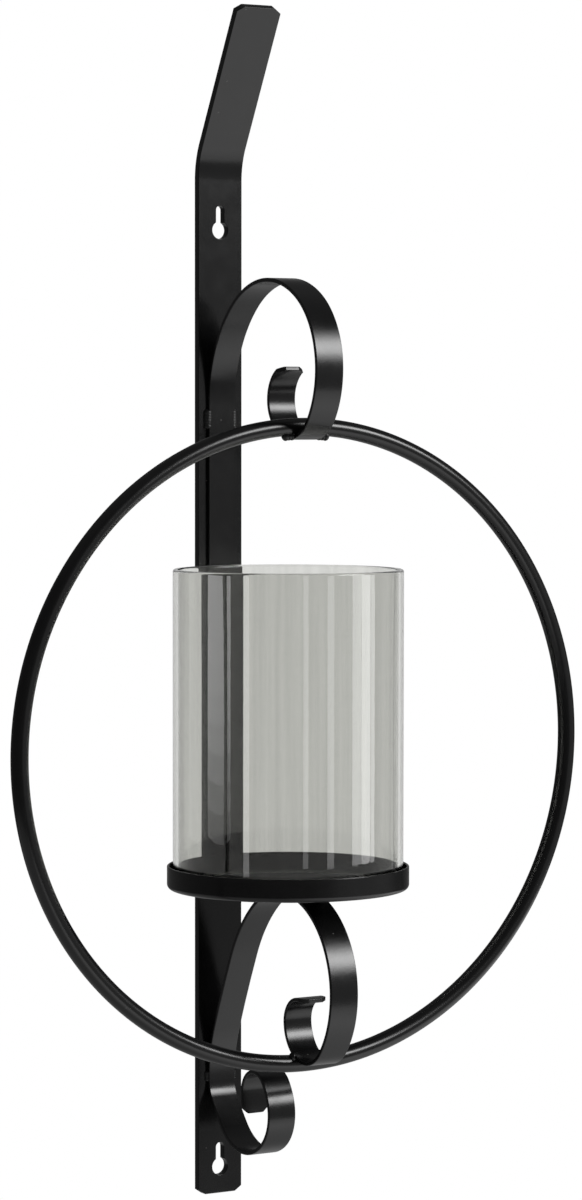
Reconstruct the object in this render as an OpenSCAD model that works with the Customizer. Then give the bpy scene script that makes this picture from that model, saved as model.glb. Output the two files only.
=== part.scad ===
// Torch sconce: a wall bar carries two scrolled strips, which hold a hoop and a dish with a glass cylinder.
// Millimetres. X runs along the wall, -Y points into the room, Z is up.
// The origin is on the wall, midway between the two keyholes.

/* [Wall bar] */
// Width of the flat wall bar
bar_w = 25; // [22:0.5:40]
// Thickness of the wall bar
bar_t = 4; // [2:0.5:5]
// Straight bar below the centre of the lower keyhole
bar_foot = 13.5; // [12:0.1:40]
// Straight bar above the centre of the upper keyhole, up to the bend line
bar_head = 34.5; // [26:0.5:60]
// Length of the leaning top, from the bend line to its end
lean_len = 84.6; // [40:0.1:140]
// Lean of the top, away from the wall
lean_angle = 28; // [10:1:40]
// Inside radius of the bend
bend_r = 35; // [10:1:50]
// Width of the clip across each corner
clip_w = 4; // [1:0.5:6]
// Height of the clip across each corner
clip_h = 2.6; // [1:0.1:6]

/* [Keyholes] */
// Distance between the two keyholes, centre to centre of the round holes
keyhole_spacing = 473; // [465:1:520]
// Diameter of the round hole, which passes the screw head
keyhole_d = 8.8; // [7:0.1:11]
// Width of the slot, which holds the screw shank
slot_w = 4.5; // [3:0.1:6]
// Rise of the slot's end above the round hole
slot_rise = 10; // [8:0.5:14]

/* [Scroll strip] */
// Width of the strip
strip_w = 15; // [10:0.5:20]
// Thickness of the strip
strip_t = 2; // [1.5:0.1:3]
// Width of the clip across each corner of a strip end
tip_clip_w = 3.7; // [1:0.1:4.5]
// Length of the clip along the strip
tip_clip_l = 3.1; // [1:0.1:5]

/* [Upper scroll] */
// Length that lies flat on the bar
upper_flat = 106; // [60:1:115]
// Radius of the rear leg
upper_leg_r = 64; // [58:0.5:70]
// Radius of the front leg
upper_front_r = 42.4; // [38:0.1:46]
// Radius of the hook that the hoop lies in
hook_r = 21; // [17:0.5:24]
// Radius of the strip's last stretch, behind the hoop
upper_tip_r = 16; // [12:0.5:20]
// Lean of the hoop's seat in the hook, towards the room
hook_seat_angle = 8; // [0:1:20]

/* [Lower scroll] */
// Radius where the strip leaves the bar upwards
lower_root_r = 72; // [50:1:80]
// Radius of the almost straight rear leg
lower_leg_r = 620; // [500:10:700]
// Radius of the shoulder under the dish
lower_shoulder_r = 77; // [76:1:88]
// Radius of the curl that stands on the hoop
curl_r = 18.5; // [15:0.5:21]
// Radius of the curl's top
curl_tip_r = 12; // [9:0.5:14]
// Radius of the almost straight tail of the curl
curl_tail_r = 40; // [30:1:60]
// Lean of the curl's seat on the hoop, towards the wall
curl_seat_angle = 31; // [20:1:40]
// Radius where the strip leaves the bar downwards
foot_root_r = 15.7; // [12:0.1:20]
// Radius of the almost straight run under the bar
foot_run_r = 143; // [120:1:160]
// Radius of the foot's lowest bend
foot_low_r = 28.7; // [26:0.1:31]
// Radius of the foot's front
foot_front_r = 20.3; // [18:0.1:22]
// Radius of the foot's rise
foot_rise_r = 31.2; // [28:0.1:34]
// Radius of the foot's top
foot_top_r = 11.4; // [9.5:0.1:13]
// Radius of the foot's tail
foot_tail_r = 42; // [35:1:60]

/* [Hoop] */
// Diameter of the round rod
rod_d = 8.5; // [6:0.5:10]
// Radius of the hoop, to the middle of the rod
hoop_r = 155.1; // [148:0.1:160]
// Distance from the wall to the plane of the hoop
hoop_out = 86; // [82:0.5:92]
// Height of the hoop's centre, from midway between the keyholes
hoop_z = -16.5; // [-25:0.1:-8]
// Root gap that the butt weld fills
joint_gap = 2; // [1:0.5:4]

/* [Candle dish] */
// Outside diameter of the dish
dish_d = 118.8; // [117:0.2:122]
// Height of the dish
dish_h = 11.4; // [6:0.1:20]
// Thickness of the dish's sheet
dish_t = 1.2; // [0.8:0.1:2]
// Outside radius of the corner between floor and rim
dish_corner_r = 2.5; // [2.1:0.1:2.9]
// Distance from the wall to the middle of the dish
dish_out = 70.7; // [68:0.1:72]

/* [Glass cylinder] */
// Outside diameter of the glass
glass_d = 113; // [100:0.5:113.2]
// Wall of the glass
glass_t = 2.6; // [2:0.1:5]
// Height of the glass
glass_h = 155.5; // [100:0.5:160]
// Bevel on the edges of the glass foot
glass_bevel = 0.5; // [0.2:0.1:0.8]

/* [Weld beads] */
// Leg of the beads beside the upper scroll
upper_bead_leg = 2.6; // [2:0.1:3.5]
// Length of the beads beside the upper scroll
upper_bead_l = 12; // [8:0.5:30]
// Leg of the beads beside the lower scroll
lower_bead_leg = 1.9; // [1.5:0.1:2.5]
// Length of the beads beside the lower scroll
lower_bead_l = 7; // [5:0.5:10]
// Leg of the beads between hook or curl and hoop
hoop_bead_leg = 2.4; // [1.5:0.1:3]
// Length along the rod of the beads beside the hook
hook_bead_l = 6.5; // [3:0.5:10]
// Length along the rod of the beads beside the curl
curl_bead_l = 3.5; // [3:0.5:8]
// Leg of the beads under the dish
dish_bead_leg = 1.8; // [1:0.1:2.5]
// Length of the beads under the dish
dish_bead_l = 10; // [6:0.5:16]

/* [Hidden] */
$fn = 96;
// How far a cutting shape runs past what it cuts
past = 1;
// Largest angle between two points of a bent outline
arc_step = 3;

rod_r = rod_d / 2;
// Height of each keyhole's round hole, and its place along Z
keyhole_z = keyhole_spacing / 2;
bar_bottom = -keyhole_z - bar_foot;
// Height of the bend line, where the two back planes of the bar meet
bend_line_z = keyhole_z + bar_head;
// Length of bar that the bend takes up on each side of its line
bend_take = (bend_r + bar_t) * tan(lean_angle / 2);
// Y of a strip's middle where it lies on the bar
strip_y = -bar_t - strip_t / 2;

// A scroll is a list of arcs, each [radius to the strip's middle, angle turned]. It starts upwards along
// +Z and turns towards the room. Headings are angles in the Y-Z plane from +Y, so up is 90.
function heading(arcs, n) = n == 0 ? 90 : heading(arcs, n - 1) + arcs[n - 1][1];
// Travel in Y and Z per unit of radius, between two headings
function travel(from, to) = [sin(to) - sin(from), cos(from) - cos(to)];
// Place after the first n arcs, from the start of the scroll
function reach(arcs, n) = n == 0
    ? [0, 0]
    : reach(arcs, n - 1) + arcs[n - 1][0] * travel(heading(arcs, n - 1), heading(arcs, n));
// Centre of arc n
function centre(arcs, n) = reach(arcs, n) + arcs[n][0] * [-sin(heading(arcs, n)), cos(heading(arcs, n))];
// Points along one side of the stock, off from its middle, away from the centre of each arc
function side_points(arcs, off) = [
    for (n = [0 : len(arcs) - 1])
        let (steps = ceil(arcs[n][1] / arc_step), last = n == len(arcs) - 1 ? steps : steps - 1)
            for (k = [0 : last])
                let (h = heading(arcs, n) + arcs[n][1] * k / steps)
                    centre(arcs, n) + (arcs[n][0] + off) * [sin(h), -cos(h)]
];
function flipped(points) = [for (p = points) [p[0], -p[1]]];
function backwards(points) = [for (n = [len(points) - 1 : -1 : 0]) points[n]];
// Radius of arc n that brings the centre of a later arc m to the distance target in Y
function fitted_radius(arcs, n, m, target) =
    (target - (centre(arcs, m)[0] - arcs[n][0] * travel(heading(arcs, n), heading(arcs, n + 1))[0]))
    / travel(heading(arcs, n), heading(arcs, n + 1))[0];

// Upper scroll: the arch's radius follows from the hoop's distance to the wall.
hoop_y = -hoop_out;
hoop_top_z = hoop_z + hoop_r;
hoop_bottom_z = hoop_z - hoop_r;
// Angle of the hoop that the butt weld fills
joint_angle = 2 * asin(joint_gap / 2 / hoop_r);

hook_seat = hook_r - strip_t / 2 - rod_r;
hook_centre = [hoop_y + hook_seat * sin(hook_seat_angle), hoop_top_z + hook_seat * cos(hook_seat_angle)];
upper_draft = [[upper_leg_r, 50.5], [52, 72], [upper_front_r, 91.5], [hook_r, 115.5], [upper_tip_r, 102]];
arch_r = fitted_radius(upper_draft, 1, 3, hook_centre[0] - strip_y);
upper_arcs = [upper_draft[0], [arch_r, upper_draft[1][1]], upper_draft[2], upper_draft[3], upper_draft[4]];
upper_start_z = hook_centre[1] - centre(upper_arcs, 3)[1];

// Lower scroll: the front's radius follows from the hoop's distance to the wall.
curl_seat = curl_r + strip_t / 2 + rod_r;
curl_centre = [hoop_y - curl_seat * sin(curl_seat_angle), hoop_bottom_z + curl_seat * cos(curl_seat_angle)];
lower_draft = [[lower_root_r, 22], [lower_leg_r, 4], [lower_shoulder_r, 25.3], [45, 168],
               [curl_r, 137.8], [curl_tip_r, 94], [curl_tail_r, 7]];
lower_front_r = fitted_radius(lower_draft, 3, 4, curl_centre[0] - strip_y);
lower_arcs = [lower_draft[0], lower_draft[1], lower_draft[2], [lower_front_r, lower_draft[3][1]],
              lower_draft[4], lower_draft[5], lower_draft[6]];
lower_start_z = curl_centre[1] - centre(lower_arcs, 4)[1];
foot_arcs = [[foot_root_r, 35.2], [foot_run_r, 6.5], [foot_low_r, 84.5], [foot_front_r, 72.8],
             [foot_rise_r, 18], [foot_top_r, 140], [foot_tail_r, 16]];
// Crown of the lower scroll, where the strip runs level in the fourth arc: the dish stands on it.
crown = centre(lower_arcs, 3) + [strip_y, lower_start_z + lower_front_r];

dish_y = -dish_out;
dish_bottom = crown[1] + strip_t / 2;
dish_floor = dish_bottom + dish_t;

// ---------- shared shapes ----------

// Flat stock from its side outline in (Y, Z)
module strip(outline, width) {
    rotate([90, 0, 90])
        linear_extrude(width, center = true)
            polygon(outline);
}

// The two wedges that clip the corners of an end at the origin, which points along +Z
module end_clips(width, across_clip, along_clip, thickness) {
    for (side = [-1, 1])
        translate([side * width / 2, 0, 0])
            rotate([90, 0, 0])
                linear_extrude(thickness + 2 * past, center = true)
                    polygon([[-side * across_clip, 0], [0, -along_clip], [side * past, -along_clip],
                             [side * past, past], [-side * across_clip, past]]);
}

// End clips at the end of a scroll
module tip_clips(arcs) {
    last = len(arcs);
    translate([0, reach(arcs, last)[0], reach(arcs, last)[1]])
        rotate([heading(arcs, last) - 90, 0, 0])
            end_clips(strip_w, tip_clip_w, tip_clip_l, strip_t);
}

// A round bar with ball ends, along +Z from the origin
module bead(radius, length) {
    translate([0, 0, radius])
        sphere(radius);
    translate([0, 0, radius])
        cylinder(r = radius, h = length - 2 * radius);
    translate([0, 0, length - radius])
        sphere(radius);
}

// A pair of fillet beads on the bar, beside a strip, upwards from the height low
module bar_beads(leg, length, low) {
    for (side = [-1, 1])
        intersection() {
            translate([side * strip_w / 2, -bar_t, low])
                bead(leg, length);
            translate([side > 0 ? strip_w / 2 : -strip_w / 2 - leg - past, -bar_t - leg - past, low - past])
                cube([leg + past, leg + past, length + 2 * past]);
        }
}

// Sweeps a sketch round the hoop, from the angle start. The sketch is in (distance from the hoop's centre,
// distance from the hoop's plane towards the room). Angles run from +X over the top.
module round_hoop(start, sweep) {
    translate([0, hoop_y, hoop_z])
        rotate([90, 0, 0])
            rotate([0, 0, start])
                rotate_extrude(angle = sweep)
                    children();
}

// The rod's section
module rod_section() {
    translate([hoop_r, 0])
        circle(rod_r);
}

// A pair of beads on the inside of the hoop, beside a strip that touches the rod at the angle middle. The
// strip's seat leans by tilt from the hoop's plane towards the room.
module hoop_beads(middle, tilt, length) {
    first = asin(strip_w / 2 / (hoop_r - rod_r - hoop_bead_leg));
    sweep = asin((strip_w / 2 + length) / hoop_r) - first;
    for (side = [0, 1])
        mirror([side, 0, 0])
            round_hoop(middle + first, sweep)
                difference() {
                    translate([hoop_r - rod_r * cos(tilt), rod_r * sin(tilt)])
                        circle(hoop_bead_leg);
                    rod_section();
                }
}

// ---------- sub-parts ----------

module keyhole() {
    translate([0, past, 0])
        rotate([90, 0, 0]) {
            cylinder(d = keyhole_d, h = bar_t + 2 * past);
            translate([0, slot_rise, 0])
                cylinder(d = slot_w, h = bar_t + 2 * past);
            translate([-slot_w / 2, 0, 0])
                cube([slot_w, slot_rise, bar_t + 2 * past]);
        }
}

module back_bar() {
    half = bar_t / 2;
    straight_top = bend_line_z - bend_take;
    bend_arcs = [[bend_r + half, lean_angle]];
    lean = heading(bend_arcs, 1);
    lean_end = reach(bend_arcs, 1) + (lean_len - bend_take) * [cos(lean), sin(lean)];
    // From the bar's middle to its wall side, at the end of the lean
    to_wall_side = half * [sin(lean), -cos(lean)];
    color([0.07, 0.07, 0.08])
        difference() {
            translate([0, -half, straight_top])
                strip(concat([[half, bar_bottom - straight_top]], side_points(bend_arcs, half),
                             [lean_end + to_wall_side, lean_end - to_wall_side],
                             backwards(side_points(bend_arcs, -half)),
                             [[-half, bar_bottom - straight_top]]), bar_w);
            for (z = [-keyhole_z, keyhole_z])
                translate([0, 0, z])
                    keyhole();
            translate([0, -half + lean_end[0], straight_top + lean_end[1]])
                rotate([lean_angle, 0, 0])
                    end_clips(bar_w, clip_w, clip_h, bar_t);
            translate([0, -half, bar_bottom])
                mirror([0, 0, 1])
                    end_clips(bar_w, clip_w, clip_h, bar_t);
        }
}

module upper_scroll() {
    half = strip_t / 2;
    color([0.09, 0.09, 0.1])
        translate([0, strip_y, upper_start_z])
            difference() {
                strip(concat([[half, -upper_flat]], side_points(upper_arcs, half),
                             backwards(side_points(upper_arcs, -half)), [[-half, -upper_flat]]), strip_w);
                tip_clips(upper_arcs);
                translate([0, 0, -upper_flat])
                    mirror([0, 0, 1])
                        end_clips(strip_w, tip_clip_w, tip_clip_l, strip_t);
            }
}

module lower_scroll() {
    half = strip_t / 2;
    // The foot is worked out upwards like the rest, flipped over, and joined on without its first points
    wall_side = [for (n = [1 : len(side_points(foot_arcs, half)) - 1]) side_points(foot_arcs, half)[n]];
    room_side = [for (n = [1 : len(side_points(foot_arcs, -half)) - 1]) side_points(foot_arcs, -half)[n]];
    color([0.09, 0.09, 0.1])
        translate([0, strip_y, lower_start_z])
            difference() {
                strip(concat(backwards(flipped(wall_side)), side_points(lower_arcs, half),
                             backwards(side_points(lower_arcs, -half)), flipped(room_side)), strip_w);
                tip_clips(lower_arcs);
                mirror([0, 0, 1])
                    tip_clips(foot_arcs);
            }
}

module hoop() {
    color([0.06, 0.06, 0.07])
        round_hoop(90 + joint_angle / 2, 360 - joint_angle)
            rod_section();
}

module hoop_joint_weld() {
    color([0.1, 0.1, 0.11])
        round_hoop(90 - joint_angle / 2, joint_angle)
            rod_section();
}

module candle_dish() {
    inner_r = dish_corner_r - dish_t;
    color([0.08, 0.08, 0.09])
        translate([0, dish_y, dish_bottom])
            rotate_extrude() {
                square([dish_d / 2 - dish_corner_r, dish_t]);
                translate([dish_d / 2 - dish_t, dish_corner_r])
                    square([dish_t, dish_h - dish_corner_r - dish_t / 2]);
                translate([dish_d / 2 - dish_t / 2, dish_h - dish_t / 2])
                    circle(dish_t / 2);
                translate([dish_d / 2 - dish_corner_r, dish_corner_r])
                    difference() {
                        circle(dish_corner_r);
                        circle(inner_r);
                        translate([-2 * dish_corner_r, -2 * dish_corner_r])
                            square([2 * dish_corner_r, 4 * dish_corner_r]);
                        translate([-dish_corner_r, 0])
                            square([3 * dish_corner_r, 2 * dish_corner_r]);
                    }
            }
}

module glass_cylinder() {
    outer = glass_d / 2;
    color([0.8, 0.88, 0.84, 0.35])
        translate([0, dish_y, dish_floor])
            rotate_extrude() {
                polygon([[outer - glass_bevel, 0], [outer, glass_bevel], [outer, glass_h - glass_t / 2],
                         [outer - glass_t, glass_h - glass_t / 2], [outer - glass_t, glass_bevel],
                         [outer - glass_t + glass_bevel, 0]]);
                translate([outer - glass_t / 2, glass_h - glass_t / 2])
                    circle(glass_t / 2);
            }
}

module upper_scroll_welds() {
    color([0.12, 0.12, 0.13])
        bar_beads(upper_bead_leg, upper_bead_l, upper_start_z - upper_bead_l - 1);
}

module lower_scroll_welds() {
    color([0.12, 0.12, 0.13])
        bar_beads(lower_bead_leg, lower_bead_l, lower_start_z - lower_bead_l / 4);
}

module hook_welds() {
    color([0.12, 0.12, 0.13])
        hoop_beads(90, hook_seat_angle, hook_bead_l);
}

module curl_welds() {
    color([0.12, 0.12, 0.13])
        hoop_beads(270, curl_seat_angle, curl_bead_l);
}

module dish_welds() {
    color([0.12, 0.12, 0.13])
        for (side = [-1, 1])
            intersection() {
                translate([side * strip_w / 2, crown[0] + dish_bead_l / 2, dish_bottom])
                    rotate([90, 0, 0])
                        bead(dish_bead_leg, dish_bead_l);
                translate([side > 0 ? strip_w / 2 : -strip_w / 2 - dish_bead_leg - past,
                           crown[0] - dish_bead_l, dish_bottom - dish_bead_leg - past])
                    cube([dish_bead_leg + past, 2 * dish_bead_l, dish_bead_leg + past]);
            }
}

back_bar();
upper_scroll();
lower_scroll();
hoop();
hoop_joint_weld();
candle_dish();
glass_cylinder();
upper_scroll_welds();
lower_scroll_welds();
hook_welds();
curl_welds();
dish_welds();
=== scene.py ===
"""Torch sconce: a powder-coated wall bracket with scrolls, a hoop and a dish that holds a glass cylinder.

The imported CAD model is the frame. Each black piece is built again here with rolled edges, weld ripples and
its finish, on the same sizes as the solids. Lengths in the classes are millimetres. Meshes, lamps and the
studio are in metres.
"""

from __future__ import annotations

import logging
import math
from dataclasses import dataclass
from enum import Enum

import bmesh
import bpy
from bpy.types import GeometryNodeTree, Material, Mesh, Node, NodeSocket, Object
from mathutils import Matrix, Vector

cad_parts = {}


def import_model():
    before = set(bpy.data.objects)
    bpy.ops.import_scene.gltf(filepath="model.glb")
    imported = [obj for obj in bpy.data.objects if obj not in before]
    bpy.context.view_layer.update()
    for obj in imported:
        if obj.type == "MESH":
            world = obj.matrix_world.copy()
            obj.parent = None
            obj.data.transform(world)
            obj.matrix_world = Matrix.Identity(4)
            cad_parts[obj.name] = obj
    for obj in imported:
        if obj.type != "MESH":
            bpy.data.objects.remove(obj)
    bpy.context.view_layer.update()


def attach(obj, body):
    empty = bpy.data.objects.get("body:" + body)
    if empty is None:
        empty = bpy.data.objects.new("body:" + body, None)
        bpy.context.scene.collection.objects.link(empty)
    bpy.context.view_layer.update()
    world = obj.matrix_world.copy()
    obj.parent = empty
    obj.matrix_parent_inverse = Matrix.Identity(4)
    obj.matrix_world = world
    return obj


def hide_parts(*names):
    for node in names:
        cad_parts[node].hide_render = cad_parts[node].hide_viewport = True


Pair = tuple[float, float]
Triple = tuple[float, float, float]

log = logging.getLogger("torch_sconce")
MM = 0.001
# Points nearer than this are one point: in millimetres along a path, and in metres in a mesh
SAME = 1e-6
DOUBLE = 1e-7
# The glass and the coat bend light alike
IOR = 1.5
# Points this far from the ends of flat stock, in millimetres, shape its rounded end
END_STEPS = (0.06, 0.15)
# Above 50, broad faces weigh more than narrow ones in the normals between them
FACE_WEIGHT = 60
GLASS_PIECE = "glass_tube"


class Body(Enum):
    """The bodies that pieces ride on."""

    BRACKET = "bracket"
    GLASS = "glass"


class Slot(Enum):
    """The material slots."""

    BLACK = "black_powder_coat"
    GLASS = "clear_glass"


class Fade(Enum):
    """How a mapped value goes from one end to the other."""

    EVEN = "LINEAR"
    SOFT = "SMOOTHSTEP"


# ---------- node trees and finishes ----------


@dataclass
class NodeTree:
    """A node tree under construction."""

    tree: bpy.types.NodeTree

    def feed(self, socket: NodeSocket, value: object) -> None:
        """Links a socket, or sets its value.

        Args:
            socket: the input to feed.
            value: a socket to link, or a plain value.
        """
        if isinstance(value, NodeSocket):
            self.tree.links.new(value, socket)
        else:
            socket.default_value = value

    def add(self, kind: str, inputs: dict[str | int, object] | None = None, **settings: object) -> Node:
        """Adds a node.

        Args:
            kind: the node's type name.
            inputs: values or sockets for its inputs.
            settings: the node's own properties.

        Returns:
            The new node.
        """
        node = self.tree.nodes.new(kind)
        for key, value in settings.items():
            setattr(node, key, value)
        for key, value in (inputs or {}).items():
            self.feed(node.inputs[key], value)
        return node

    def result(self, kind: str, inputs: dict[str | int, object] | None = None, **settings: object) -> NodeSocket:
        """Adds a node and gives its first output."""
        return self.add(kind, inputs, **settings).outputs[0]

    def math(self, operation: str, first: object, second: object = 0.0) -> NodeSocket:
        """Adds a sum of two numbers."""
        return self.result("ShaderNodeMath", {0: first, 1: second}, operation=operation)

    def between(self, value: NodeSocket, low: object, high: object, start: float = 0.3, end: float = 0.7,
                fade: Fade = Fade.EVEN) -> NodeSocket:
        """Maps a value from start..end to low..high, and holds it beyond."""
        return self.result("ShaderNodeMapRange", {"Value": value, "From Min": start, "From Max": end,
                                                  "To Min": low, "To Max": high}, interpolation_type=fade.value)

    def towards(self, vector: NodeSocket, azimuth: float) -> NodeSocket:
        """Measures how far a vector reaches towards an azimuth.

        Args:
            vector: a place or a direction.
            azimuth: degrees from the room's middle towards +X.

        Returns:
            The reach.
        """
        az = math.radians(azimuth)
        way = (math.sin(az), -math.cos(az), 0.0)
        return self.add("ShaderNodeVectorMath", {0: vector, 1: way}, operation="DOT_PRODUCT").outputs["Value"]


class ShaderTree(NodeTree):
    """A material under construction."""

    def __init__(self, name: str) -> None:
        """Starts the material with a Principled shader.

        Args:
            name: the material's name.
        """
        self.material = bpy.data.materials.new(name)
        self.material.use_nodes = True
        super().__init__(self.material.node_tree)

    def noise(self, place: NodeSocket, scale: float, detail: float = 2.0) -> NodeSocket:
        """Gives a noise value at a place, with scale in waves per metre."""
        return self.result("ShaderNodeTexNoise", {"Vector": place, "Scale": scale, "Detail": detail})

    def blend(self, share: NodeSocket, first: object, second: object) -> NodeSocket:
        """Mixes two colours or colour sockets, by the share of the second."""
        a, b = (c if isinstance(c, NodeSocket) else (*c, 1.0) for c in (first, second))
        return self.add("ShaderNodeMix", {"Factor": share, 6: a, 7: b}, data_type="RGBA").outputs[2]

    def bump(self, height: NodeSocket, depth: float, strength: float = 1.0, **more: NodeSocket) -> NodeSocket:
        """Raises the surface by a height field with waves of a depth in millimetres, and gives the normal."""
        return self.result("ShaderNodeBump", {"Height": height, "Strength": strength, "Distance": depth * MM,
                                              **more})

    def dress(self, inputs: dict[str, object]) -> Material:
        """Feeds the shader's inputs.

        Args:
            inputs: values or sockets by input name.

        Returns:
            The finished material.
        """
        shader = self.tree.nodes["Principled BSDF"]
        for key, value in inputs.items():
            self.feed(shader.inputs[key], value)
        return self.material


@dataclass(frozen=True)
class PowderCoat:
    """Satin black powder coat, with the fine waves that such a coat dries in and a little dust.

    Attributes:
        rough: roughness of the coat, lowest and highest.
        peel: height of the waves, in millimetres.
        grain: height of the rolled steel's lines under the coat, in millimetres.
        dust: share of grey in the dust specks.
        speck_edge: distance from a cell's middle where a speck starts and stops to fade.
    """

    name: str
    tone: Triple = (0.0038, 0.0038, 0.0040)
    rough: Pair = (0.19, 0.23)
    peel: float = 0.012
    grain: float = 0.0
    dust: float = 0.5
    deeper: float = 0.8
    dust_tone: Triple = (0.16, 0.155, 0.15)
    mottle_scale: float = 55.0
    speck_scale: float = 130.0
    speck_edge: Pair = (0.035, 0.06)
    speck_choice: Pair = (0.8, 0.82)
    gloss_scale: float = 140.0
    peel_scale: float = 620.0
    line_scale: float = 1400.0
    line_stretch: Triple = (1.0, 0.03, 1.0)

    def build(self) -> Material:
        """Builds the material.

        Returns:
            The material.
        """
        tree = ShaderTree(self.name)
        place = tree.add("ShaderNodeTexCoord").outputs["Object"]
        mottle = tree.between(tree.noise(place, self.mottle_scale, 4.0), 0.0, 1.0)
        deep = tuple(self.deeper * part for part in self.tone)
        coat = tree.blend(mottle, deep, self.tone)
        specks = tree.add("ShaderNodeTexVoronoi", {"Vector": place, "Scale": self.speck_scale,
                                                   "Randomness": 1.0})
        near = tree.between(specks.outputs["Distance"], 1.0, 0.0, *self.speck_edge)
        cell = tree.result("ShaderNodeSeparateColor", {0: specks.outputs["Color"]})
        chosen = tree.between(cell, 0.0, 1.0, *self.speck_choice)
        share = tree.math("MULTIPLY", tree.math("MULTIPLY", near, chosen), self.dust)
        normal = tree.bump(tree.noise(place, self.peel_scale, 1.0), self.peel)
        if self.grain:
            lay = tree.add("ShaderNodeAttribute", attribute_name="lay").outputs["Vector"]
            lines = tree.result("ShaderNodeMapping", {"Vector": lay, "Scale": self.line_stretch})
            normal = tree.bump(tree.noise(lines, self.line_scale, 2.0), self.grain, Normal=normal)
        gloss = tree.between(tree.noise(place, self.gloss_scale, 3.0), *self.rough)
        return tree.dress({"Base Color": tree.blend(share, coat, self.dust_tone), "Roughness": gloss,
                           "Normal": normal, "IOR": IOR})


@dataclass(frozen=True)
class ClearGlass:
    """Soda-lime glass with a grey-green cast, darkened by painted shade, and a little dust film.

    Attributes:
        tint: colour that one wall lets through: a grey-green cast, darkened by painted shade of the dim room
            behind the glass.
        streak_depth: height of the drawn waves, in millimetres. The waves also darken the tint in streaks,
            partly drawn glass and partly painted reflection.
        film: roughness of the dust film, lowest and highest.
    """

    name: str
    tint: Triple = (0.72, 0.723, 0.697)
    darker: float = 0.88
    streak_scale: float = 260.0
    streak_stretch: Triple = (1.0, 1.0, 0.02)
    streak_depth: float = 0.01
    film: Pair = (0.0, 0.015)
    film_scale: float = 30.0

    def build(self) -> Material:
        """Builds the material.

        Returns:
            The material.
        """
        tree = ShaderTree(self.name)
        place = tree.add("ShaderNodeTexCoord").outputs["Object"]
        streaks = tree.result("ShaderNodeMapping", {"Vector": place, "Scale": self.streak_stretch})
        drawn_and_painted_streaks = tree.noise(streaks, self.streak_scale, 3.0)
        # Painted shade and painted reflection: the darkened tint stands in for the dim room behind the glass,
        # and its darker streaks partly for the room mirrored in it
        dark = tuple(self.darker * part for part in self.tint)
        colour = tree.blend(tree.between(drawn_and_painted_streaks, 0.0, 1.0), dark, self.tint)
        return tree.dress({"Base Color": colour, "IOR": IOR, "Transmission Weight": 1.0,
                           "Roughness": tree.between(tree.noise(place, self.film_scale, 2.0), *self.film),
                           "Normal": tree.bump(drawn_and_painted_streaks, self.streak_depth, 0.4)})


class Finishes:
    """The finishes of this object, built once."""

    def __init__(self) -> None:
        """Builds every finish."""
        self.strip = PowderCoat("strip_powder_coat", grain=0.004).build()
        self.bar = PowderCoat("bar_powder_coat", grain=0.003, rough=(0.17, 0.21), dust=0.7).build()
        self.rod = PowderCoat("rod_powder_coat", rough=(0.2, 0.24), peel=0.003, dust=0.3).build()
        self.dish = PowderCoat("dish_powder_coat", rough=(0.22, 0.27)).build()
        self.dish_floor = PowderCoat("dish_floor_powder_coat", rough=(0.5, 0.6)).build()
        self.weld = PowderCoat("weld_powder_coat", tone=(0.002, 0.002, 0.0021), rough=(0.3, 0.4), peel=0.03,
                               dust=0.2).build()
        self.glass = ClearGlass("clear_glass_cylinder").build()


# ---------- shared shapes ----------


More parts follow.
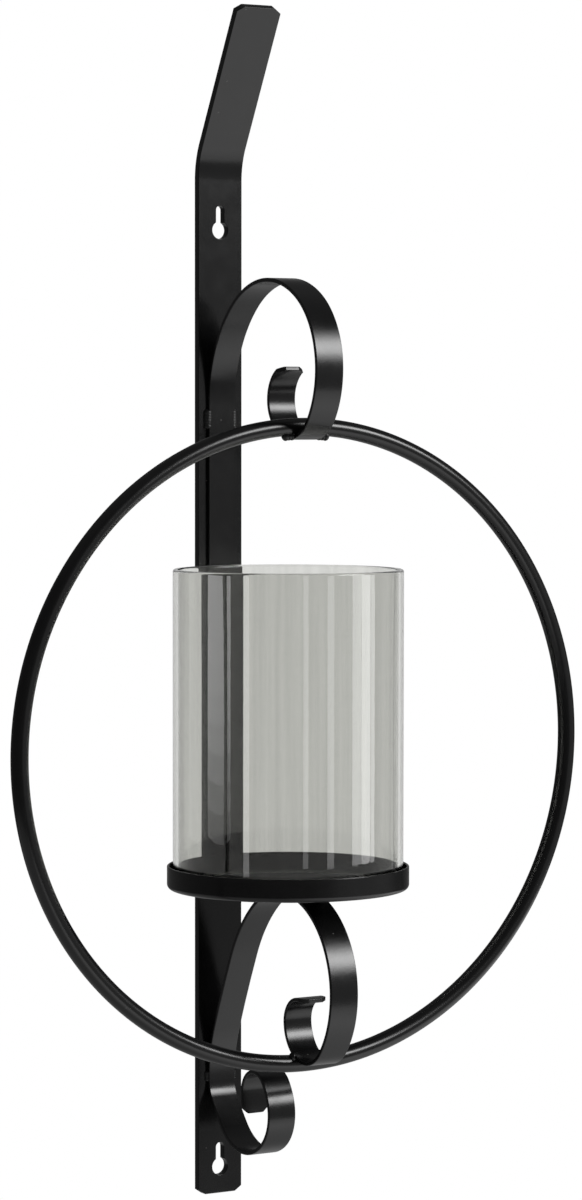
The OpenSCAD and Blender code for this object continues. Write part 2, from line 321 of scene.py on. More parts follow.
class GeometryTree(NodeTree):
    """A Geometry Nodes tree under construction, with a path and a finish as its first inputs."""

    def __init__(self, name: str) -> None:
        """Starts the tree.

        Args:
            name: the tree's name.
        """
        super().__init__(bpy.data.node_groups.new(name, "GeometryNodeTree"))
        self.tree.interface.new_socket("Geometry", in_out="OUTPUT", socket_type="NodeSocketGeometry")
        self.tree.interface.new_socket("Path", in_out="INPUT", socket_type="NodeSocketGeometry")
        self.tree.interface.new_socket("Finish", in_out="INPUT", socket_type="NodeSocketMaterial")
        self.source = self.tree.nodes.new("NodeGroupInput")

    def size(self, name: str, value: float) -> NodeSocket:
        """Adds a named size in metres and gives its socket."""
        self.tree.interface.new_socket(name, in_out="INPUT", socket_type="NodeSocketFloat").default_value = value
        return self.source.outputs[name]

    def vector(self, operation: str, first: object, second: object) -> NodeSocket:
        """Adds a sum of two vectors."""
        return self.result("ShaderNodeVectorMath", {0: first, 1: second}, operation=operation)

    def keep(self, geometry: NodeSocket, value: NodeSocket, kind: str) -> tuple[NodeSocket, NodeSocket]:
        """Captures a value on the points of a geometry.

        Args:
            geometry: the geometry.
            value: the field to capture.
            kind: FLOAT or VECTOR.

        Returns:
            The geometry and the captured value.
        """
        node = self.add("GeometryNodeCaptureAttribute", domain="POINT")
        node.capture_items.new(kind, "Value")
        self.tree.links.new(geometry, node.inputs[0])
        self.tree.links.new(value, node.inputs[1])
        return node.outputs[0], node.outputs[1]

    def line(self) -> NodeSocket:
        """Turns the path into a curve."""
        return self.result("GeometryNodeMeshToCurve", {0: self.source.outputs["Path"]})

    def sweep(self, line: NodeSocket, outline: NodeSocket) -> NodeSocket:
        """Runs a closed outline along a curve, with capped ends."""
        return self.result("GeometryNodeCurveToMesh", {"Curve": line, "Profile Curve": outline,
                                                       "Fill Caps": True})

    def near(self, distance: NodeSocket, reach: NodeSocket) -> NodeSocket:
        """Falls from 1 at no distance to 0 at a reach and beyond."""
        return self.math("MAXIMUM", self.math("SUBTRACT", 1.0, self.math("DIVIDE", distance, reach)), 0.0)

    def within(self, value: NodeSocket, limit: NodeSocket) -> NodeSocket:
        """Holds a value within a limit on either side of 0."""
        held = self.math("MINIMUM", self.math("ABSOLUTE", value), limit)
        return self.math("MULTIPLY", self.math("SIGN", value), held)

    def close(self, geometry: NodeSocket) -> None:
        """Ends the tree with Realize Instances and Set Material.

        Args:
            geometry: the finished shape.
        """
        real = self.result("GeometryNodeRealizeInstances", {0: geometry})
        smooth = self.result("GeometryNodeSetShadeSmooth", {0: real})
        dressed = self.result("GeometryNodeSetMaterial", {0: smooth, "Material": self.source.outputs["Finish"]})
        self.tree.links.new(dressed, self.tree.nodes.new("NodeGroupOutput").inputs[0])


def placed(name: str, data: bpy.types.ID) -> Object:
    """Puts a new object into the scene.

    Args:
        name: the object's name.
        data: its mesh, lamp or camera.

    Returns:
        The object.
    """
    obj = bpy.data.objects.new(name, data)
    bpy.context.scene.collection.objects.link(obj)
    return obj


def meshed(name: str, made: bmesh.types.BMesh) -> Mesh:
    """Turns a mesh under construction into a mesh.

    Args:
        name: the new mesh's name.
        made: the mesh under construction, which is freed.

    Returns:
        The new mesh.
    """
    mesh = bpy.data.meshes.new(name)
    made.to_mesh(mesh)
    made.free()
    return mesh


def baked(obj: Object) -> Object:
    """Turns an object and its modifiers into a plain mesh on the same object.

    Args:
        obj: the object, whose modifiers are removed.

    Returns:
        The same object.
    """
    made = bpy.data.meshes.new_from_object(obj.evaluated_get(bpy.context.evaluated_depsgraph_get()))
    obj.modifiers.clear()
    obj.data = made
    made.name = obj.name
    return obj


def grown(name: str, tree: GeometryNodeTree, path: Mesh, inputs: dict[str, object]) -> Object:
    """Runs a tree on a path and keeps the result as a plain mesh.

    Args:
        name: the new piece's name.
        tree: the Geometry Nodes tree.
        path: the mesh that the tree starts from.
        inputs: values of the tree's named inputs.

    Returns:
        The new piece.
    """
    obj = placed(name, path)
    modifier = obj.modifiers.new(tree.name, "NODES")
    modifier.node_group = tree
    for item in tree.interface.items_tree:
        if item.item_type == "SOCKET" and item.in_out == "INPUT" and item.name in inputs:
            modifier[item.identifier] = inputs[item.name]
    return baked(obj)


def outward(obj: Object) -> None:
    """Merges doubles and points the faces outwards.

    Args:
        obj: the piece.
    """
    made = bmesh.new()
    made.from_mesh(obj.data)
    bmesh.ops.remove_doubles(made, verts=made.verts, dist=DOUBLE)
    bmesh.ops.recalc_face_normals(made, faces=made.faces)
    made.to_mesh(obj.data)
    made.free()


def flat_faces_first(obj: Object) -> None:
    """Keeps broad faces flat beside their rounded edges.

    Args:
        obj: the piece.
    """
    obj.data.shade_smooth()
    weighted = obj.modifiers.new("weighted", "WEIGHTED_NORMAL")
    weighted.weight = FACE_WEIGHT
    weighted.keep_sharp = False
    baked(obj)


def path_mesh(name: str, points: list[Vector]) -> Mesh:
    """Makes a chain of edges.

    Args:
        name: the mesh's name.
        points: its points in millimetres.

    Returns:
        The mesh, in metres.
    """
    mesh = bpy.data.meshes.new(name)
    mesh.from_pydata([point * MM for point in points], [(n, n + 1) for n in range(len(points) - 1)], [])
    return mesh


@dataclass(frozen=True)
class Arc:
    """One stretch of a scroll.

    Attributes:
        radius: radius to the strip's middle.
        sweep: angle turned, in degrees.
    """

    radius: float
    sweep: float


@dataclass(frozen=True)
class Chain:
    """Arcs joined end to end in the plane X = 0, first heading along +Z and turning towards the room.

    Attributes:
        start: Y and Z of the first point.
        down: whether the chain is mirrored to start along -Z.
    """

    start: Pair
    arcs: tuple[Arc, ...]
    down: bool = False

    def points(self, step: float = 1.5) -> list[Vector]:
        """Gives points along the chain, without the start.

        Args:
            step: the most that the chain turns from point to point, in degrees.

        Returns:
            The points.
        """
        y, z, heading = 0.0, 0.0, 90.0
        found = []
        for arc in self.arcs:
            count = math.ceil(arc.sweep / step)
            angle = math.radians(heading)
            centre = (y - arc.radius * math.sin(angle), z + arc.radius * math.cos(angle))
            for n in range(1, count + 1):
                angle = math.radians(heading + arc.sweep * n / count)
                y, z = centre[0] + arc.radius * math.sin(angle), centre[1] - arc.radius * math.cos(angle)
                found.append(Vector((0.0, self.start[0] + y, self.start[1] + (-z if self.down else z))))
            heading += arc.sweep
        return found


def with_end_steps(points: list[Vector], steps: tuple[float, ...]) -> list[Vector]:
    """Adds points at set distances from both ends of a chain of points.

    Args:
        points: the chain.
        steps: the distances, shortest first.

    Returns:
        The chain with the added points.
    """
    for _ in range(2):
        length, out, left = 0.0, [points[0]], list(steps)
        for a, b in zip(points, points[1:]):
            span = (b - a).length
            while left and left[0] < length + span - SAME:
                if left[0] > length + SAME:
                    out.append(a.lerp(b, (left[0] - length) / span))
                left.pop(0)
            out.append(b)
            length += span
        # The second pass starts from the other end, and turns the chain back
        points = out[::-1]
    return points


def flat_stock_tree() -> GeometryNodeTree:
    """Builds the tree that runs flat stock along a path, with rounded edges and clipped end corners.

    Returns:
        The tree.
    """
    tree = GeometryTree("flat_stock")
    width, thick = tree.size("Width", 0.015), tree.size("Thickness", 0.002)
    edge = tree.size("Edge Radius", 0.0004)
    across, along = tree.size("Clip Across", 0.0037), tree.size("Clip Along", 0.0031)
    line, middle = tree.keep(tree.line(), tree.result("GeometryNodeInputPosition"), "VECTOR")
    tangent = tree.result("GeometryNodeInputTangent")
    line, outside = tree.keep(line, tree.vector("CROSS_PRODUCT", tangent, (1.0, 0.0, 0.0)), "VECTOR")
    line, travelled = tree.keep(line, tree.add("GeometryNodeSplineParameter").outputs["Length"], "FLOAT")
    line, whole = tree.keep(line, tree.add("GeometryNodeSplineLength").outputs["Length"], "FLOAT")
    outline = tree.result("GeometryNodeCurvePrimitiveQuadrilateral", {"Width": width, "Height": thick})
    outline = tree.result("GeometryNodeFilletCurve", {"Curve": outline, "Radius": edge, "Count": 3}, mode="POLY")
    outline, corner = tree.keep(outline, tree.result("GeometryNodeInputPosition"), "VECTOR")
    swept = tree.sweep(line, outline)
    parts = tree.add("ShaderNodeSeparateXYZ", {0: corner}).outputs
    to_end = tree.math("MINIMUM", travelled, tree.math("SUBTRACT", whole, travelled))
    # The end's own edge is rounded as the long edges are
    inside = tree.near(to_end, edge)
    left = tree.math("MAXIMUM", tree.math("SUBTRACT", 1.0, tree.math("MULTIPLY", inside, inside)), 0.0)
    drawn_in = tree.math("MULTIPLY", edge, tree.math("SUBTRACT", 1.0, tree.math("SQRT", left)))
    clip = tree.math("MULTIPLY", across, tree.near(to_end, along))
    half = tree.math("SUBTRACT", tree.math("MULTIPLY", width, 0.5), clip)
    side = tree.within(parts[0], tree.math("SUBTRACT", half, drawn_in))
    face = tree.within(parts[1], tree.math("SUBTRACT", tree.math("MULTIPLY", thick, 0.5), drawn_in))
    sideways = tree.result("ShaderNodeCombineXYZ", {0: side})
    raised = tree.result("ShaderNodeVectorMath", {0: outside, "Scale": face}, operation="SCALE")
    place = tree.vector("ADD", tree.vector("ADD", middle, sideways), raised)
    moved = tree.result("GeometryNodeSetPosition", {"Geometry": swept, "Position": place})
    lay = tree.result("ShaderNodeCombineXYZ", {0: side, 1: travelled, 2: face})
    tree.close(tree.result("GeometryNodeStoreNamedAttribute", {"Geometry": moved, "Name": "lay", "Value": lay},
                           data_type="FLOAT_VECTOR", domain="POINT"))
    return tree.tree


def round_rod_tree() -> GeometryNodeTree:
    """Builds the tree that runs round rod along a path.

    Returns:
        The tree.
    """
    tree = GeometryTree("round_rod")
    radius = tree.size("Rod Radius", 0.00425)
    outline = tree.result("GeometryNodeCurvePrimitiveCircle", {"Resolution": 40, "Radius": radius})
    tree.close(tree.sweep(tree.line(), outline))
    return tree.tree


def weld_tree() -> GeometryNodeTree:
    """Builds the tree that lays overlapping weld ripples along a path.

    Returns:
        The tree.
    """
    tree = GeometryTree("weld_ripples")
    radius, pitch = tree.size("Bead Radius", 0.0025), tree.size("Ripple Pitch", 0.0011)
    spots = tree.add("GeometryNodeCurveToPoints", {"Curve": tree.line(), "Length": pitch}, mode="LENGTH")
    ripple = tree.result("GeometryNodeMeshIcoSphere", {"Radius": 1.0, "Subdivisions": 4})
    # Each ripple has its own size, and is shorter along the bead than across it
    share = tree.add("FunctionNodeRandomValue", {2: 0.9, 3: 1.0, "Seed": 11}, data_type="FLOAT").outputs[1]
    size = tree.math("MULTIPLY", radius, share)
    stretch = tree.result("ShaderNodeCombineXYZ", {0: size, 1: size, 2: tree.math("MULTIPLY", size, 0.75)})
    tree.close(tree.result("GeometryNodeInstanceOnPoints", {
        "Points": spots.outputs[0], "Rotation": spots.outputs["Rotation"], "Instance": ripple,
        "Scale": stretch}))
    return tree.tree


def turned(name: str, profile: list[Pair], axis_y: float, low: float, closed: bool,
           finish: Material, around: int = 192) -> Object:
    """Turns a profile about a vertical axis.

    Args:
        name: the new piece's name.
        profile: radius and height of each point, in millimetres. A point at radius 0 is a pole.
        axis_y: Y of the axis.
        low: height that the profile's heights are measured from.
        closed: whether the last point joins the first.
        finish: its material.
        around: number of steps round the axis.

    Returns:
        The new piece.
    """
    made = bmesh.new()
    rings = []
    for radius, height in profile:
        count = around if radius > SAME else 1
        rings.append([made.verts.new(Vector((radius * math.cos(math.tau * n / around),
                                             axis_y + radius * math.sin(math.tau * n / around),
                                             low + height)) * MM) for n in range(count)])
    for first, second in zip(rings, rings[1:] + ([rings[0]] if closed else [])):
        for n in range(around):
            m = (n + 1) % around
            face = (first[n % len(first)], first[m % len(first)], second[m % len(second)],
                    second[n % len(second)])
            made.faces.new(list(dict.fromkeys(face)))
    bmesh.ops.recalc_face_normals(made, faces=made.faces)
    obj = placed(name, meshed(name, made))
    obj.data.materials.append(finish)
    return obj


def rounded(centre: Pair, radius: float, start: float, end: float, steps: int) -> list[Pair]:
    """Gives points on an arc.

    Args:
        centre: the arc's middle, outwards and up.
        radius: the arc's radius.
        start: angle of its first point, in degrees from outwards.
        end: angle of its last point.
        steps: number of steps.

    Returns:
        The points, outwards and up.
    """
    angles = [math.radians(start + (end - start) * n / steps) for n in range(steps + 1)]
    return [(centre[0] + radius * math.cos(a), centre[1] + radius * math.sin(a)) for a in angles]


def settle(obj: Object, body: Body, slot: Slot, *nodes: str) -> None:
    """Hands a finished piece to the frame.

    Args:
        obj: the piece.
        body: the body that it rides on.
        slot: the material slot that it shows; not used.
        nodes: the CAD nodes that it stands for.
    """
    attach(obj, body.value)
    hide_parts(*nodes)
    log.info("%s: %d faces, for %s", obj.name, len(obj.data.polygons), ", ".join(nodes))


# ---------- sub-assemblies ----------


@dataclass
class FlatStock:
    """Flat steel that runs along a line, with rounded edges.

    Attributes:
        stock: the tree that runs it along a line.
        clip: how far its end corners are clipped, across and along.
    """

    finish: Material
    stock: GeometryNodeTree
    width: float = 15.0
    thickness: float = 2.0
    edge: float = 0.35
    clip: Pair = (3.7, 3.1)

    def run(self, name: str, line: list[Vector]) -> Object:
        """Runs the stock along a line.

        Args:
            name: the new piece's name.
            line: its middle line.

        Returns:
            The new piece.
        """
        path = path_mesh(f"{name}_path", with_end_steps(line, (*END_STEPS, self.edge, self.clip[1])))
        obj = grown(name, self.stock, path, {
            "Finish": self.finish, "Width": self.width * MM, "Thickness": self.thickness * MM,
            "Edge Radius": self.edge * MM, "Clip Across": self.clip[0] * MM, "Clip Along": self.clip[1] * MM})
        outward(obj)
        return obj


@dataclass
class WallBar(FlatStock):
    """The flat wall bar, with its leaning top, clipped corners and two keyholes.

    Attributes:
        bend_line_z: height where the two flats of its back would meet.
        lean_length: length of the back above that height.
        keyhole_z: height of the round part of a keyhole, above and below the middle.
        slot_rise: height of the slot's round end above that part's middle.
        keyhole_corner: least angle of an edge that the coat rounds, in degrees.
    """

    width: float = 25.0
    thickness: float = 4.0
    edge: float = 0.3
    clip: Pair = (4.0, 2.6)
    foot_z: float = -250.0
    bend_line_z: float = 271.0
    lean_length: float = 84.6
    lean: float = 28.0
    bend_radius: float = 35.0
    keyhole_z: float = 236.5
    keyhole_d: float = 8.8
    slot_w: float = 4.5
    slot_rise: float = 10.0
    keyhole_edge: float = 0.3
    keyhole_corner: float = 60.0
    beyond: float = 2.0

    def path(self) -> list[Vector]:
        """Gives the bar's middle line, from the foot to the end of the lean.

        Returns:
            The line's points.
        """
        half = self.thickness / 2
        take = (self.bend_radius + self.thickness) * math.tan(math.radians(self.lean / 2))
        bend_start = self.bend_line_z - take
        bend = Chain((-half, bend_start), (Arc(self.bend_radius + half, self.lean),)).points(step=1.0)
        angle = math.radians(90 + self.lean)
        end = bend[-1] + (self.lean_length - take) * Vector((0.0, math.cos(angle), math.sin(angle)))
        return [Vector((0.0, -half, self.foot_z)), Vector((0.0, -half, bend_start)), *bend, end]

    def cutter(self, z: float) -> Object:
        """Makes the solid that cuts one keyhole.

        Args:
            z: height of the keyhole's round part.

        Returns:
            The solid.
        """
        # The outline runs round the hole from side to side of the slot, then over the slot's end
        neck = math.degrees(math.asin(self.slot_w / self.keyhole_d))
        outline = rounded((0.0, 0.0), self.keyhole_d / 2, 90 + neck, 450 - neck, 64)
        outline += rounded((0.0, self.slot_rise), self.slot_w / 2, 0, 180, 32)
        made = bmesh.new()
        near, far = ([made.verts.new(Vector((x, y, z + up)) * MM) for x, up in outline]
                     for y in (-self.thickness - self.beyond, self.beyond))
        made.faces.new(near)
        made.faces.new(far)
        for n in range(len(outline)):
            m = (n + 1) % len(outline)
            made.faces.new([near[n], near[m], far[m], far[n]])
        bmesh.ops.recalc_face_normals(made, faces=made.faces)
        return placed("keyhole_cutter", meshed("keyhole_cutter", made))

    def soften_keyholes(self, obj: Object) -> None:
        """Rounds the edges of the keyholes, where the coat covers them.

        Args:
            obj: the bar.
        """
        made = bmesh.new()
        made.from_mesh(obj.data)
        reach = (self.slot_rise + self.keyhole_d) * MM
        edges = []
        for edge in made.edges:
            middle = (edge.verts[0].co + edge.verts[1].co) / 2
            by_hole = min(abs(middle.z - z * MM) for z in (-self.keyhole_z, self.keyhole_z)) < reach
            if by_hole and abs(middle.x) < self.keyhole_d * MM and len(edge.link_faces) == 2:
                if edge.calc_face_angle(0.0) > math.radians(self.keyhole_corner):
                    edges.append(edge)
        bmesh.ops.bevel(made, geom=edges, offset=self.keyhole_edge * MM, segments=2, profile=0.5, affect="EDGES")
        made.to_mesh(obj.data)
        made.free()

    def build(self) -> None:
        """Builds the bar and hands it to the frame."""
        obj = self.run("wall_bar", self.path())
        cutters = [self.cutter(z) for z in (-self.keyhole_z, self.keyhole_z)]
        for cutter in cutters:
            cut = obj.modifiers.new("keyhole", "BOOLEAN")
            cut.object, cut.operation, cut.solver = cutter, "DIFFERENCE", "EXACT"
        baked(obj)
        for cutter in cutters:
            bpy.data.objects.remove(cutter)
        self.soften_keyholes(obj)
        flat_faces_first(obj)
        settle(obj, Body.BRACKET, Slot.BLACK, "back_bar")


@dataclass
class ScrollStrips(FlatStock):
    """The two scrolled strips of one flat stock.

    Attributes:
        upper_z: height where the upper strip leaves the bar.
        lower_z: height where the lower strip touches the bar.
    """

    strip_y: float = -5.0
    upper_z: float = 148.8354
    upper_flat: float = 106.0
    upper: tuple[Arc, ...] = (Arc(64, 50.5), Arc(51.6092, 72), Arc(42.4, 91.5), Arc(21, 115.5), Arc(16, 102))
    lower_z: float = -191.4938
    lower: tuple[Arc, ...] = (Arc(72, 22), Arc(620, 4), Arc(77, 25.3), Arc(45.4872, 168), Arc(18.5, 137.8),
                              Arc(12, 94), Arc(40, 7))
    foot: tuple[Arc, ...] = (Arc(15.7, 35.2), Arc(143, 6.5), Arc(28.7, 84.5), Arc(20.3, 72.8), Arc(31.2, 18),
                             Arc(11.4, 140), Arc(42, 16))

    def strip(self, name: str, node: str, line: list[Vector]) -> None:
        """Builds one strip and hands it to the frame.

        Args:
            name: the piece's name.
            node: the CAD node that it stands for.
            line: its middle line.
        """
        obj = self.run(name, line)
        flat_faces_first(obj)
        settle(obj, Body.BRACKET, Slot.BLACK, node)

    def build(self) -> None:
        """Builds both strips."""
        flat = [Vector((0.0, self.strip_y, z)) for z in (self.upper_z - self.upper_flat, self.upper_z)]
        arch = Chain((self.strip_y, self.upper_z), self.upper).points()
        self.strip("hook_scroll", "upper_scroll", [*flat, *arch])
        root = Vector((0.0, self.strip_y, self.lower_z))
        foot = Chain((self.strip_y, self.lower_z), self.foot, down=True).points()
        rise = Chain((self.strip_y, self.lower_z), self.lower).points()
        self.strip("dish_scroll", "lower_scroll", [*foot[::-1], root, *rise])


@dataclass
class Hoop:
    """The round rod, rolled to a ring and closed with a butt weld inside the hook.

    Attributes:
        radius: radius of the ring, to the rod's middle.
    """

    finish: Material
    rod: GeometryNodeTree
    rod_r: float = 4.25
    radius: float = 155.1
    plane_y: float = -86.0
    centre_z: float = -16.5
    joint_gap: float = 2.0
    steps: int = 720

    def at(self, angle: float, inwards: float = 0.0, towards_room: float = 0.0) -> Vector:
        """Gives a point by its angle in degrees from +X and its offsets from the middle of the rod."""
        r, a = self.radius - inwards, math.radians(angle)
        return Vector((r * math.cos(a), self.plane_y - towards_room, self.centre_z + r * math.sin(a)))

    def build(self) -> None:
        """Builds the ring of rod and its joint."""
        joint = math.degrees(2 * math.asin(self.joint_gap / 2 / self.radius))
        ring = [self.at(90 + joint / 2 + (360 - joint) * n / self.steps) for n in range(self.steps + 1)]
        weld = [self.at(90 - joint / 2 + joint * n / 4) for n in range(5)]
        for name, node, line in (("hoop_rod", "hoop", ring), ("hoop_butt_weld", "hoop_joint_weld", weld)):
            obj = grown(name, self.rod, path_mesh(f"{name}_path", line),
                        {"Finish": self.finish, "Rod Radius": self.rod_r * MM})
            outward(obj)
            obj.data.shade_smooth()
            settle(obj, Body.BRACKET, Slot.BLACK, node)


@dataclass
class CandleDish:
    """The shallow pressed dish with an upright, rounded rim.

    Attributes:
        margin: width of the flat ring inside the corner.
        upwards: least upward share of the normal on the floor.
    """

    finish: Material
    floor_finish: Material
    diameter: float = 118.8
    height: float = 11.4
    sheet: float = 1.2
    corner: float = 2.5
    margin: float = 4.0
    upwards: float = 0.9
    axis_y: float = -70.7
    low: float = -87.662

    def build(self) -> None:
        """Builds the dish."""
        outer, inner, lip = self.diameter / 2, self.corner - self.sheet, self.sheet / 2
        turn, flat = (outer - self.corner, self.corner), outer - self.corner - self.margin
        profile = [(0.0, 0.0), (flat, 0.0), *rounded(turn, self.corner, -90, 0, 10)]
        profile += rounded((outer - lip, self.height - lip), lip, 0, 180, 8)
        profile += [*rounded(turn, inner, 0, -90, 8), (flat, self.sheet), (0.0, self.sheet)]
        obj = turned("candle_tray", profile, self.axis_y, self.low, closed=False, finish=self.finish)
        flat_faces_first(obj)
        # Candles wear the floor of the dish, so its coat is duller there
        obj.data.materials.append(self.floor_finish)
        corner_z = (self.low + self.corner) * MM
        for face in obj.data.polygons:
            face.material_index = int(face.normal.z > self.upwards and face.center.z < corner_z)
        settle(obj, Body.BRACKET, Slot.BLACK, "candle_dish")


@dataclass
class GlassCylinder:
    """The open glass tube, with a fire-polished rim and a ground foot.

    Attributes:
        margin: height of the straight ring above the bevels.
    """

    finish: Material
    diameter: float = 113.0
    wall: float = 2.6
    height: float = 155.5
    bevel: float = 0.5
    margin: float = 1.0
    axis_y: float = -70.7
    low: float = -86.462

    def build(self) -> None:
        """Builds the glass."""
        outer, half, straight = self.diameter / 2, self.wall / 2, self.bevel + self.margin
        inner = outer - self.wall
        profile = [(outer - self.bevel, 0.0), (outer, self.bevel), (outer, straight)]
        profile += rounded((outer - half, self.height - half), half, 0, 180, 16)
        profile += [(inner, straight), (inner, self.bevel), (inner + self.bevel, 0.0)]
        obj = turned(GLASS_PIECE, profile, self.axis_y, self.low, closed=True, finish=self.finish, around=256)
        flat_faces_first(obj)
        settle(obj, Body.GLASS, Slot.GLASS, "glass_cylinder")


@dataclass
class WeldBeads:
    """The fillet welds that join strips, bar, hoop and dish.

    Attributes:
        upper: low end, length and leg of the beads beside the upper strip.
        lower: the same beside the lower strip.
        hook: angle round the hoop, tilt towards the room, leg and length of the beads beside the hook.
        curl: the same beside the curl.
        tray: X, Y and Z of the middle of a bead under the dish.
        tray_half: half the length of that bead.
        bar_sink: how deep a bead's line lies in its corner on the bar, as a share of the leg.
        hoop_start: how far from the strip a bead's line starts on the hoop, as a share of the leg.
    """

    finish: Material
    ripples: GeometryNodeTree
    hoop: Hoop
    strip_w: float = 15.0
    bar_face_y: float = -4.0
    upper: Triple = (135.84, 12.0, 2.6)
    lower: Triple = (-193.24, 7.0, 1.9)
    hook: tuple[float, float, float, float] = (90.0, 8.0, 2.4, 6.5)
    curl: tuple[float, float, float, float] = (270.0, 31.0, 2.4, 3.5)
    tray: Triple = (7.3, -77.348, -87.83)
    tray_half: float = 3.4
    bar_sink: float = 0.15
    hoop_start: float = 0.2

    def lay(self, name: str, node: str, paths: list[list[Vector]], radius: float, pitch: float) -> None:
        """Lays beads of ripples along paths and hands them to the frame as one piece.

        Args:
            name: the piece's name.
            node: the CAD node that it stands for.
            paths: points of each bead's line.
            radius: radius of the ripples.
            pitch: distance from ripple to ripple.
        """
        made = bmesh.new()
        for n, points in enumerate(paths):
            part = grown(f"{name}_{n}", self.ripples, path_mesh(name, points), {
                "Finish": self.finish, "Bead Radius": radius * MM, "Ripple Pitch": pitch * MM})
            made.from_mesh(part.data)
            bpy.data.objects.remove(part)
        obj = placed(name, meshed(name, made))
        obj.data.materials.append(self.finish)
        obj.data.shade_smooth()
        settle(obj, Body.BRACKET, Slot.BLACK, node)

    def beside_strip(self, low: float, length: float, leg: float) -> list[list[Vector]]:
        """Gives the two bead lines on the bar, beside a strip, by their low end, length and leg."""
        inset = self.bar_sink * leg
        return [[Vector((side * (self.strip_w / 2 - inset), self.bar_face_y + inset, low + leg + step))
                 for step in (0.0, length - 2 * leg)] for side in (-1, 1)]

    def on_hoop(self, middle: float, tilt: float, leg: float, length: float) -> list[list[Vector]]:
        """Gives the two bead lines on the hoop, beside a strip that touches it.

        Args:
            middle: angle round the hoop, in degrees.
            tilt: angle round the rod from inwards to forwards, in degrees.
            leg: leg of the fillet.
            length: length of a bead.

        Returns:
            The points of both lines.
        """
        turn = math.radians(tilt)
        inwards, forwards = self.hoop.rod_r * math.cos(turn), self.hoop.rod_r * math.sin(turn)
        near, far = (math.degrees(math.asin((self.strip_w / 2 + reach) / self.hoop.radius))
                     for reach in (self.hoop_start * leg, length - leg))
        return [[self.hoop.at(middle + side * (near + (far - near) * n / 4), inwards, forwards)
                 for n in range(5)] for side in (-1, 1)]

    def build(self) -> None:
        """Builds every weld."""
        x, y, z = self.tray
        under = [[Vector((side * x, y + end * self.tray_half, z)) for end in (-1, 1)] for side in (-1, 1)]
        self.lay("upper_bar_welds", "upper_scroll_welds", self.beside_strip(*self.upper), radius=2.6, pitch=1.3)
        self.lay("lower_bar_welds", "lower_scroll_welds", self.beside_strip(*self.lower), radius=1.9, pitch=1.0)
        self.lay("hook_hoop_welds", "hook_welds", self.on_hoop(*self.hook), radius=2.4, pitch=1.2)
        self.lay("curl_hoop_welds", "curl_welds", self.on_hoop(*self.curl), radius=2.3, pitch=0.8)
        self.lay("tray_welds", "dish_welds", under, radius=1.8, pitch=1.0)


# ---------- studio ----------


@dataclass(frozen=True)
class SoftBox:
    """A rectangular studio lamp that stands upright and faces the object, in level bands.

    Attributes:
        azimuth: degrees from the room's middle towards +X.
        distance: metres from the object, along the floor.
        low: height of its lower edge.
        high: height of its upper edge.
        width: metres.
        bands: brightness of its bands from low to high, where white paper is 1.
        lit: the only piece that it lights, or nothing for the whole scene.
    """

    name: str
    azimuth: float
    distance: float
    low: float
    high: float
    width: float
    bands: tuple[float, ...]
    lit: str = ""

    def build(self) -> None:
        """Places the lamp."""
        az = math.radians(self.azimuth)
        away = Vector((math.sin(az), -math.cos(az), 0.0))
        height = (self.high - self.low) / len(self.bands)
        for n, radiance in enumerate(self.bands):
            lamp = bpy.data.lights.new(f"{self.name}_{n}", "AREA")
            lamp.shape = "RECTANGLE"
            lamp.size, lamp.size_y = self.width, height
            lamp.energy = radiance * math.pi * self.width * height
            obj = placed(lamp.name, lamp)
            place = away * self.distance + Vector((0.0, 0.0, self.low + height * (n + 0.5)))
            obj.matrix_world = Matrix.Translation(place) @ away.to_track_quat("Z", "Y").to_matrix().to_4x4()
            obj.visible_camera = False
            obj.visible_transmission = False
            if self.lit:
                only = bpy.data.collections.new(lamp.name)
                only.objects.link(bpy.data.objects[self.lit])
                obj.light_linking.receiver_collection = only


def glass_light(name: str, azimuth: float, low: float, high: float, width: float, *bands: float,
                distance: float = 2.5) -> SoftBox:
    """Makes a lamp that lights only the glass, with values as in SoftBox."""
    return SoftBox(name, azimuth, distance, low, high, width, bands, GLASS_PIECE)


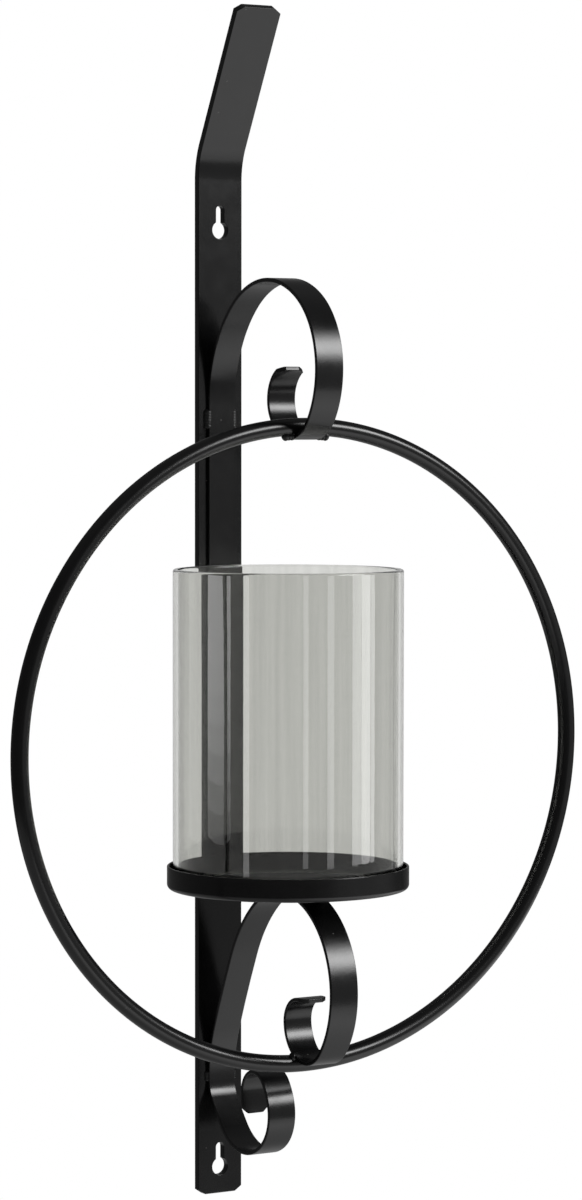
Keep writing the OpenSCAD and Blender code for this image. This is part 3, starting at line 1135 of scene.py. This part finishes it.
@dataclass
class Studio:
    """The pale floor, the light and the camera at the photograph's angle.

    Brightness is relative to white paper. A fade says how far a direction or place reaches towards a side of
    the room where that side starts to show, and where it shows in full.

    Attributes:
        ambient: brightness of the world for matt surfaces.
        floor_white: brightness of the floor for the camera.
        floor_painted_light: painted light on the floor, which glows as the coat mirrors it, away from the window
            and towards it.
        backdrop: brightness behind the object, as the coat mirrors it.
        soft_boxes: the lamps. The first lights the whole scene.
    """

    floor_z: float = -1.5
    floor_r: float = 4.2
    floor_tones: Pair = (0.8, 0.84)
    floor_white: float = 0.66
    floor_painted_light: Pair = (0.05, 0.9)
    floor_painted_light_fade: Pair = (0.45, 2.0)
    ambient: float = 0.3
    window_azimuth: float = 48.0
    window_side: float = 0.3
    window_fade: Pair = (0.68, 0.93)
    dark_side: float = 0.08
    ceiling: float = 0.13
    ceiling_fade: Pair = (0.6, 0.85)
    backdrop: float = 0.2
    backdrop_fade: Pair = (0.9, 0.97)
    camera_at: Triple = (-0.97805, -1.70036, 0.14835)
    azimuth: float = 31.017
    pitch: float = 2.854
    roll: float = 0.062
    focal_px: float = 3894.07
    image: tuple[int, int] = (582, 1200)
    soft_boxes: tuple[SoftBox, ...] = (
        SoftBox("window_light", 37.0, 3.2, 0.76, 2.94, 1.7, (4.2, 11.5, 12.5, 9.8, 4.4, 2.0)),
        glass_light("glass_panel", -101.8, -0.34, 0.06, 1.24,
                    0.8, 1.4, 2.1, 2.8, 3.3, 3.6, 3.8, 3.9, 4.0, 4.0, 4.0, 4.0),
        glass_light("glass_window_left", 39.2, -0.355, 0.5, 0.46, 3.2),
        glass_light("glass_window_mid", 50.5, -0.355, 0.5, 0.5, 5.2),
        glass_light("glass_window_right", 59.5, -0.355, 0.5, 0.24, 3.4),
        glass_light("glass_side", 105.0, -0.5, 0.5, 1.1, 0.2),
        glass_light("glass_door", 11.0, -0.355, 0.5, 0.3, 2.3),
        glass_light("glass_curtain", -13.5, -0.355, 0.5, 0.22, 1.8),
        glass_light("glass_edge", -71.0, -0.5, 0.5, 0.26, 2.4),
        glass_light("glass_room_left", -135.0, -0.4, 0.6, 1.1, 0.4, distance=3.0),
        glass_light("glass_backdrop", 149.0, -0.5, 3.0, 4.0, 0.35, 0.35, 0.8, 0.8, 0.8, 0.8, 0.8),
    )

    def camera(self) -> None:
        """Sets the camera up as the photograph's."""
        az, down, roll = (math.radians(v) for v in (self.azimuth, self.pitch, self.roll))
        level = Vector((math.sin(az), math.cos(az), 0))
        right = Vector((math.cos(az), -math.sin(az), 0))
        up = Vector((0, 0, 1))
        ahead = level * math.cos(down) - up * math.sin(down)
        above = up * math.cos(down) + level * math.sin(down)
        side = right * math.cos(roll) + above * math.sin(roll)
        above = above * math.cos(roll) - right * math.sin(roll)
        data = bpy.data.cameras.new("camera")
        long_side = max(self.image)
        data.lens = data.sensor_width * self.focal_px / long_side
        # The photograph's middle was measured at a pixel's centre
        data.shift_x, data.shift_y = -0.5 / long_side, 0.5 / long_side
        data.clip_start, data.clip_end = 0.05, 200.0
        obj = placed("camera", data)
        turn = Matrix((side, above, -ahead)).transposed().to_4x4()
        obj.matrix_world = Matrix.Translation(self.camera_at) @ turn
        bpy.context.scene.camera = obj

    def world(self) -> None:
        """Makes the world: white as the background, dim as the room that the coat mirrors, soft for the rest."""
        world = bpy.data.worlds.new("studio")
        world.use_nodes = True
        world.node_tree.nodes.clear()
        tree = NodeTree(world.node_tree)
        way = tree.add("ShaderNodeTexCoord").outputs["Generated"]
        path = tree.add("ShaderNodeLightPath").outputs
        up = tree.add("ShaderNodeSeparateXYZ", {0: way}).outputs["Z"]
        window, behind = tree.towards(way, self.window_azimuth), tree.towards(way, 180.0 - self.azimuth)
        dim = tree.between(window, self.dark_side, self.window_side, *self.window_fade, Fade.SOFT)
        dim = tree.between(up, dim, self.ceiling, *self.ceiling_fade, Fade.SOFT)
        # The coat mirrors a dimmer backdrop than the picture shows
        seen_in_coat = tree.between(behind, dim, self.backdrop, *self.backdrop_fade, Fade.SOFT)
        open_view = tree.math("MAXIMUM", path["Is Camera Ray"], path["Is Transmission Ray"])
        level = tree.between(path["Is Glossy Ray"], self.ambient, seen_in_coat, 0.0, 1.0, Fade.SOFT)
        level = tree.between(open_view, level, 1.0, 0.0, 1.0, Fade.SOFT)
        back = tree.result("ShaderNodeBackground", {"Color": (1.0, 1.0, 1.0, 1.0), "Strength": level})
        tree.add("ShaderNodeOutputWorld", {"Surface": back})
        bpy.context.scene.world = world

    def floor(self) -> None:
        """Makes the pale floor, far below as under a wall light."""
        tree = ShaderTree("pale_floor")
        place = tree.add("ShaderNodeTexCoord").outputs["Object"]
        path = tree.add("ShaderNodeLightPath").outputs
        tone = tree.blend(tree.noise(place, 4.0), *((shade,) * 3 for shade in self.floor_tones))
        seen = tree.math("MAXIMUM", path["Is Camera Ray"], path["Is Transmission Ray"])
        white = tree.math("MULTIPLY", seen, self.floor_white)
        # Painted light: as the coat mirrors it, the floor glows only towards the window, a pool of window light
        # that no lamp casts there
        side = tree.towards(place, self.window_azimuth)
        painted_window_light = tree.between(side, *self.floor_painted_light, *self.floor_painted_light_fade)
        lift = tree.math("MAXIMUM", white, tree.math("MULTIPLY", path["Is Glossy Ray"], painted_window_light))
        mesh = bpy.data.meshes.new("studio_floor")
        around = [math.tau * n / 128 for n in range(128)]
        mesh.from_pydata([(self.floor_r * math.cos(a), self.floor_r * math.sin(a), self.floor_z)
                          for a in around], [], [tuple(range(len(around)))])
        mesh.materials.append(tree.dress({"Base Color": tone, "Roughness": 0.9, "Emission Strength": lift,
                                          "Emission Color": (1.0, 1.0, 1.0, 1.0)}))
        placed("studio_floor", mesh)

    def build(self) -> None:
        """Builds the studio."""
        self.world()
        self.floor()
        self.camera()
        for lamp in self.soft_boxes:
            lamp.build()
        bpy.context.scene.view_settings.view_transform = "Standard"


def main() -> None:
    """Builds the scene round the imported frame."""
    logging.basicConfig(level=logging.INFO, format="%(message)s")
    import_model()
    finishes = Finishes()
    stock, rod, ripples = flat_stock_tree(), round_rod_tree(), weld_tree()
    WallBar(finishes.bar, stock).build()
    ScrollStrips(finishes.strip, stock).build()
    hoop = Hoop(finishes.rod, rod)
    hoop.build()
    CandleDish(finishes.dish, finishes.dish_floor).build()
    GlassCylinder(finishes.glass).build()
    WeldBeads(finishes.weld, ripples, hoop).build()
    Studio().build()


if __name__ == "__main__":
    main()
